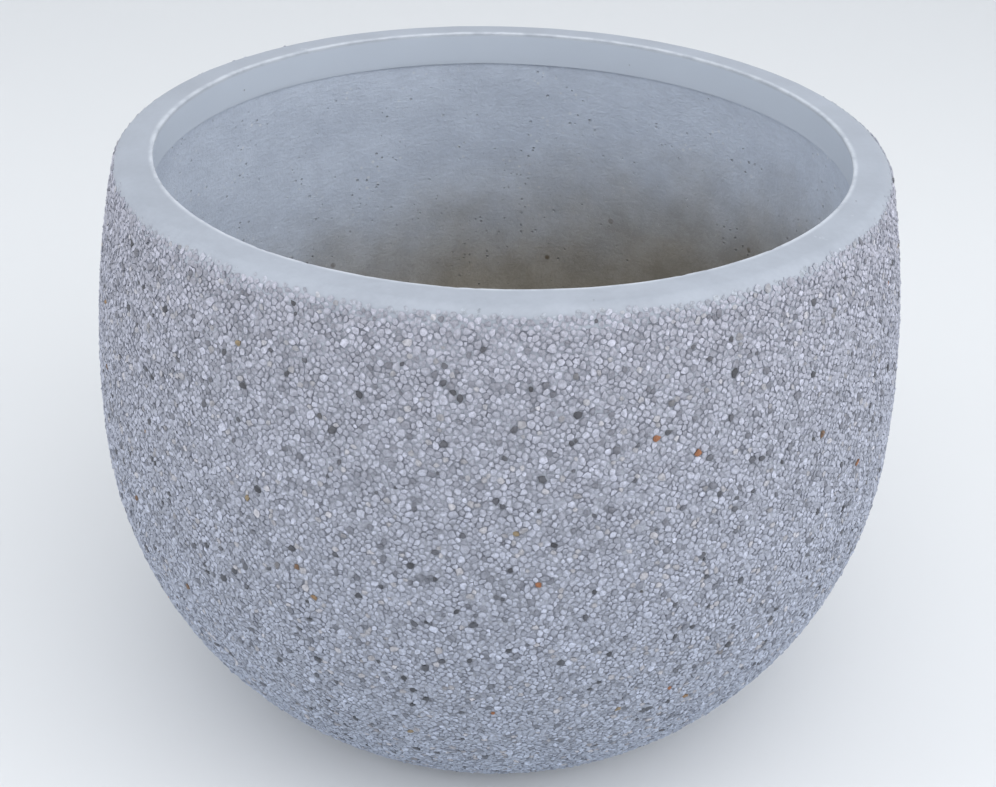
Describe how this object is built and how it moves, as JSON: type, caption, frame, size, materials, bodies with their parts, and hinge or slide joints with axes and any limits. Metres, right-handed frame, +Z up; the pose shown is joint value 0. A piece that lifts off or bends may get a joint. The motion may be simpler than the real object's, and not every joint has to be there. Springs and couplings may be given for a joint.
{
  "type": "flower pot",
  "caption": "Squat round cement planter faced with small rounded stones, with a smooth rim, an open planting space and a plugged drain in the floor.",
  "frame": {"origin": "centre of the foot, on the ground", "axes": "+Z up along the pot's axis, -Y towards the viewer of the picture, +X to the viewer's right"},
  "size_m": [0.6017, 0.602, 0.44],
  "materials": {
    "rim_cement": "satin",
    "facing_cement": "matte",
    "wall_cement": "matte",
    "pale_stone": "matte",
    "grey_stone": "matte",
    "dark_stone": "matte",
    "brown_stone": "matte",
    "galvanised_wire": "satin",
    "sleeve_plastic": "satin",
    "plug_rubber": "matte"
  },
  "bodies": {
    "pot": {"rim_ring": "rim_cement", "pebble_facing": "facing_cement", "wall_shell": "wall_cement", "base_slab": "wall_cement", "drain_sleeve": "sleeve_plastic", "rim_hoop": "galvanised_wire", "belly_hoop": "galvanised_wire", "foot_hoop": "galvanised_wire", "upper_uprights": "galvanised_wire", "lower_uprights": "galvanised_wire", "pale_stones": "pale_stone", "grey_stones": "grey_stone", "dark_stones": "dark_stone", "brown_stones": "brown_stone"},
    "plug": {"drain_plug": "plug_rubber"}
  },
  "joints": [
    {"name": "plug_lift", "type": "slide", "parent": "pot", "child": "plug", "axis": [0, 0, 1], "range_m": [0, 0.43]}
  ]
}
